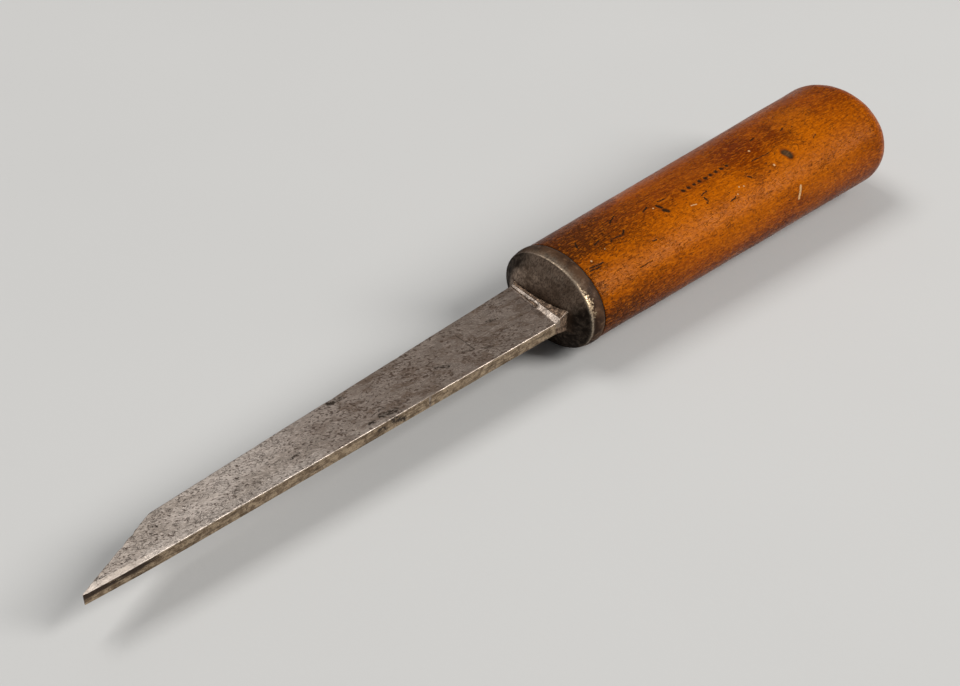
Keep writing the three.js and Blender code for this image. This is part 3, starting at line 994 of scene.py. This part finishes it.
def handle_beech():
    """Oiled beech: orange-brown with short dark flecks, dirt near the bolster, a pin knot and old scars."""
    s = Surface("handle_beech", Specular_IOR_Level=0.06, Specular_Tint=(1.0, 0.6, 0.28, 1.0))
    knot_ends = [on_handle(*end) for end in KNOT_ENDS]
    knot_spot = 0.5 * (knot_ends[0] + knot_ends[1])
    knot = s.vector("DISTANCE", s.place, tuple(world(knot_spot)))
    along = s.axis(0)
    broad = s.lumps(42.0, 13.0, 3.0, 0.55)
    height = s.calc("DIVIDE", s.minus(s.axis(2), AXIS_Z), OVAL_RATIO)
    turn = s.calc("ARCTAN2", height, s.times(s.axis(1), -1.0))
    turn = s.plus(turn, s.times(broad, TURN_WANDER))
    off_lit_worn_side = s.calc("ABSOLUTE", s.minus(turn, math.radians(LIT_WORN_TURN) + 0.5 * TURN_WANDER))
    lit_worn_side = s.span(off_lit_worn_side, 0.15, 0.95, 1.0, 0.0)
    patches = s.lumps(13.0, 8.0, 4.0, 0.6, 0.5)
    figure = s.lumps(16.0, 1.5, 4.0, 0.65, 0.2, lean=2.0)
    grain = s.lumps(1.7, 0.5, 2.0, 0.55, lean=3.0)
    crossing = s.lumps(0.7, 1.1, 2.0, 0.55, lean=-20.0)
    s.colour = s.blend(s.span(broad, 0.36, 0.64), AMBER, CHESTNUT)
    # Painted light: the near upper side, where the key light falls, is made lighter in honey.
    s.paint(lit_worn_side, HONEY, 0.8)
    # Painted shade: the lower near side and the underside are darker.
    painted_underside_shade = s.span(turn, math.radians(-2.0), math.radians(40.0), 0.85, 0.0)
    s.paint(painted_underside_shade, UNDERSIDE_SHADE)
    s.paint(s.span(figure, 0.44, 0.6, 0.0, 0.35), HONEY)
    s.paint(s.times(s.span(patches, 0.5, 0.66, 0.0, 0.65), s.span(lit_worn_side, 0.1, 0.9, 1.0, 0.35)), RUSSET)
    broad_wobble = s.wobbled(9.0, 5.0)
    s.paint(s.spot(broad_wobble, *RED_HEART), RUSSET, 0.7)
    # Painted shade: the wood is darker towards the butt end.
    butt_end_shade = s.span(along, RIM_X + (BUTT_START - 30.0) * MM, RIM_X + BUTT_END * MM, 0.0, 0.6)
    s.paint(butt_end_shade, CHESTNUT)
    s.paint(s.spot(broad_wobble, *LIT_PATCH), HONEY, 0.6)
    dirt_line = s.minus(s.plus(along, s.times(patches, 0.05)), RIM_X + WOOD_START * MM)
    dirt = s.times(s.span(dirt_line, *DIRT_FADE, 0.9, 0.0), s.span(lit_worn_side, 0.2, 0.9, 1.0, 0.2))
    dirt = s.most(dirt, s.span(dirt_line, *COLLAR_FADE, 0.55, 0.0))
    s.paint(dirt, DIRTY)
    # Dirt near the bolster together with the painted underside shade. Both deepen the dark grain and the
    # flecks.
    dirt_and_shade = s.most(dirt, s.times(painted_underside_shade, 0.6))
    depth = s.span(dirt_and_shade, 0.0, 0.8, 0.3, 0.62)
    s.paint(s.times(s.span(grain, 0.36, 0.5, 1.0, 0.0), depth), DIRTY)
    s.paint(s.times(s.span(crossing, 0.36, 0.46, 0.8, 0.0), depth), DIRTY)
    s.paint(s.span(grain, 0.51, 0.64, 0.0, 0.34), LIGHT)

    # Faint growth lines, and the lines that run round the knot like the lids of an eye.
    growth = s.span(s.calc("SINE", s.times(s.lumps(46.0, 7.0, 2.0, 0.4), 92.0)), 0.25, 0.98)
    growth = s.times(growth, s.span(patches, 0.52, 0.62, 0.0, 0.2))
    eye_place = world(knot_spot) / (np.array([KNOT_EYE_LENGTH, 1.0, 1.0]) * MM)
    eye = s.vector("DISTANCE", s.stretched(KNOT_EYE_LENGTH, 1.0), tuple(eye_place))
    eye = s.plus(eye, s.times(s.lumps(6.0, 3.0, 1.0), 2.0))
    lids = s.span(s.calc("SINE", s.times(eye, 5.2)), 0.45, 0.98)
    lids = s.times(s.times(lids, s.span(eye, 2.4, 3.4)), s.span(eye, 4.6, 7.0, 0.5, 0.0))
    lids = s.times(lids, s.span(s.lumps(5.0, 2.6, 1.0), 0.4, 0.56, 0.15, 1.0))
    s.paint(s.most(growth, lids), DARK)

    # Dark flecks of three kinds, crowded where the wood is dirty, and dots.
    crowding = s.plus(s.times(dirt, 0.075), s.times(s.span(patches, 0.42, 0.62), 0.04))
    long_flecks = s.lumps(2.3, 0.46, 2.0, 0.6, lean=3.0)
    fine_flecks = s.lumps(1.3, 0.36, 1.0, lean=-9.0)
    turned_flecks = s.lumps(0.5, 1.4, 1.0, lean=8.0)
    dashes = s.most(s.span(s.plus(long_flecks, crowding), 0.64, 0.7),
                    s.span(s.plus(fine_flecks, crowding), 0.65, 0.71),
                    s.times(s.span(s.plus(turned_flecks, crowding), 0.67, 0.73), 0.8))
    s.paint(s.times(dashes, s.span(dirt_and_shade, 0.0, 0.6, 0.55, 0.85)), DARK)
    specks = s.span(s.lumps(1.5, 1.0, 2.0, 0.6), 0.7, 0.74)
    s.paint(specks, SOOT, 0.85)

    # Old scars, the row of punched dots, the knot's heart and the pale scratches.
    ragged = s.wobbled(1.3, 0.35)
    scars = s.most(s.strokes(ragged, on_handle, DARK_STROKES), s.spots(ragged, PUNCH_MARKS))
    s.paint(scars, SOOT, 0.95)
    heart = s.stroke(s.wobbled(2.4, 1.0), *knot_ends, KNOT_HALF)
    s.paint(s.stroke(ragged, *knot_ends, 3.0), HONEY, 0.5)
    s.paint(s.stroke(ragged, *knot_ends, 1.9), RUSSET, 0.6)
    heartwood = s.blend(s.span(knot, 0.0006, 0.0019), KNOT_BROWN, KNOT_BLACK)
    s.paint(heart, s.blend(s.span(grain, 0.4, 0.58), heartwood, KNOT_GRAIN))
    pale = s.most(s.strokes(ragged, on_handle, PALE_STROKES), s.spots(s.place, PALE_SPECKS))
    s.paint(pale, BARE, 0.8)
    rubbing = s.lumps(9.0, 5.0, 4.0, 0.65)
    roughness = s.span(rubbing, 0.3, 0.7, 0.24, 0.38)
    roughness = s.plus(roughness, s.times(s.most(dashes, scars, specks), 0.2))
    s.bump(s.minus(1.0, s.most(dashes, scars)), 0.06)
    s.bump(grain, 0.07)
    s.bump(rubbing, 0.15)
    return s.finish(roughness)


def floor_paint():
    s = Surface("floor_paint", Specular_IOR_Level=0.1)
    cloud = s.lumps(160.0, 160.0, 3.0)
    s.colour = s.blend(cloud, *FLOOR_TONES)
    s.bump(s.lumps(1.4, 1.4), 0.02)
    return s.finish(s.span(cloud, 0.2, 0.8, 0.6, 0.7))


# -------- camera, floor and lights

# The camera's side and height round the tool, and where its centre line passes the bolster.
VIEW_SIDE, VIEW_HEIGHT = math.radians(-42.91), math.radians(39.41)
VIEW_DISTANCE = 479.4
AIM_LEFT, AIM_BELOW = 20.59, 12.8
LENS, SENSOR = 60.0, 36.0
FLOOR_HALF = 12.0
# Square lights that face the bolster: direction, distance, size, power, colour.
SOFTBOXES = {
    "key": ((0.5, -0.62, 0.6), 4.4, (1.68, 2.4), 204.0, (1.0, 0.98, 0.95)),
    "top": ((-0.1, 0.46, 0.88), 4.4, (2.0, 2.0), 92.0, (1.0, 0.985, 0.96)),
    "back": ((0.45, 0.6, 0.66), 5.2, (3.2, 3.2), 11.2, (1.0, 0.99, 0.98)),
    "front": ((-0.5, -0.42, 0.75), 5.6, (1.6, 1.6), 9.6, (0.98, 0.99, 1.0)),
}
STUDIO_COLOUR, STUDIO_STRENGTH = (0.78, 0.8, 0.83, 1.0), 0.13


def view_axes():
    """Directions in the picture: right, up and back towards the camera."""
    level = math.cos(VIEW_HEIGHT)
    back = Vector((math.sin(VIEW_SIDE) * level, -math.cos(VIEW_SIDE) * level, math.sin(VIEW_HEIGHT)))
    right = Vector((math.cos(VIEW_SIDE), math.sin(VIEW_SIDE), 0.0))
    return right, back.cross(right), back


def add_camera():
    right, up, back = view_axes()
    aim = -AIM_LEFT * right - AIM_BELOW * up
    data = bpy.data.cameras.new("view")
    data.lens = LENS
    data.sensor_width = SENSOR
    data.clip_start = 0.01
    camera = new_object("view", data)
    turn = Matrix((right, up, back)).transposed().to_4x4()
    camera.matrix_world = Matrix.Translation(Vector(world(aim + VIEW_DISTANCE * back))) @ turn
    bpy.context.scene.camera = camera


def add_floor():
    """A wide floor under the places where the tool rests: the rim's back edge and the butt."""
    rim_low = world((RIM_THICKNESS, 0.0, -RIM_BACK * OVAL_RATIO))
    butt_low = world((BUTT_START, 0.0, -handle_radius(BUTT_START) * OVAL_RATIO))
    slope = (butt_low[2] - rim_low[2]) / (butt_low[0] - rim_low[0])
    corners = []
    for x, y in FLOOR_HALF * np.array(((-1, -1), (1, -1), (1, 1), (-1, 1))):
        corners.append((x, y, rim_low[2] + slope * (x - rim_low[0])))
    mesh = bpy.data.meshes.new("floor")
    mesh.from_pydata(corners, [], [(0, 1, 2, 3)])
    mesh.materials.append(floor_paint())
    floor = new_object("floor", mesh)


def add_softbox(name, towards, distance, size, power, colour):
    data = bpy.data.lights.new(name, "AREA")
    data.shape = "RECTANGLE"
    data.size, data.size_y = size
    data.energy = power
    data.color = colour
    lamp = new_object(name, data)
    towards = Vector(towards).normalized()
    target = Vector(world((0.0, 0.0, 0.0)))
    lamp.location = target + towards * distance
    lamp.rotation_euler = towards.to_track_quat("Z", "Y").to_euler()


def add_lights():
    for name, lamp in SOFTBOXES.items():
        add_softbox(name, *lamp)
    studio = bpy.data.worlds.new("studio")
    studio.use_nodes = True
    background = studio.node_tree.nodes["Background"]
    background.inputs["Color"].default_value = STUDIO_COLOUR
    background.inputs["Strength"].default_value = STUDIO_STRENGTH
    bpy.context.scene.world = studio


# -------- assembly


def dress(piece, material, node):
    piece.data.materials.append(material)
    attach(piece, "root")
    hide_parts(node)


add_camera()
dress(blade_body(), aged_steel("blade_iron", *BLADE_TONES), "blade_body")
dress(cutting_steel(), aged_steel("laid_steel", *LAID_TONES), "cutting_steel")
dress(bolster(), bolster_iron(), "bolster")
dress(washer(), washer_leather(), "leather_washer")
dress(handle(), handle_beech(), "handle")
add_floor()
add_lights()
bpy.context.scene.view_settings.view_transform = "Standard"
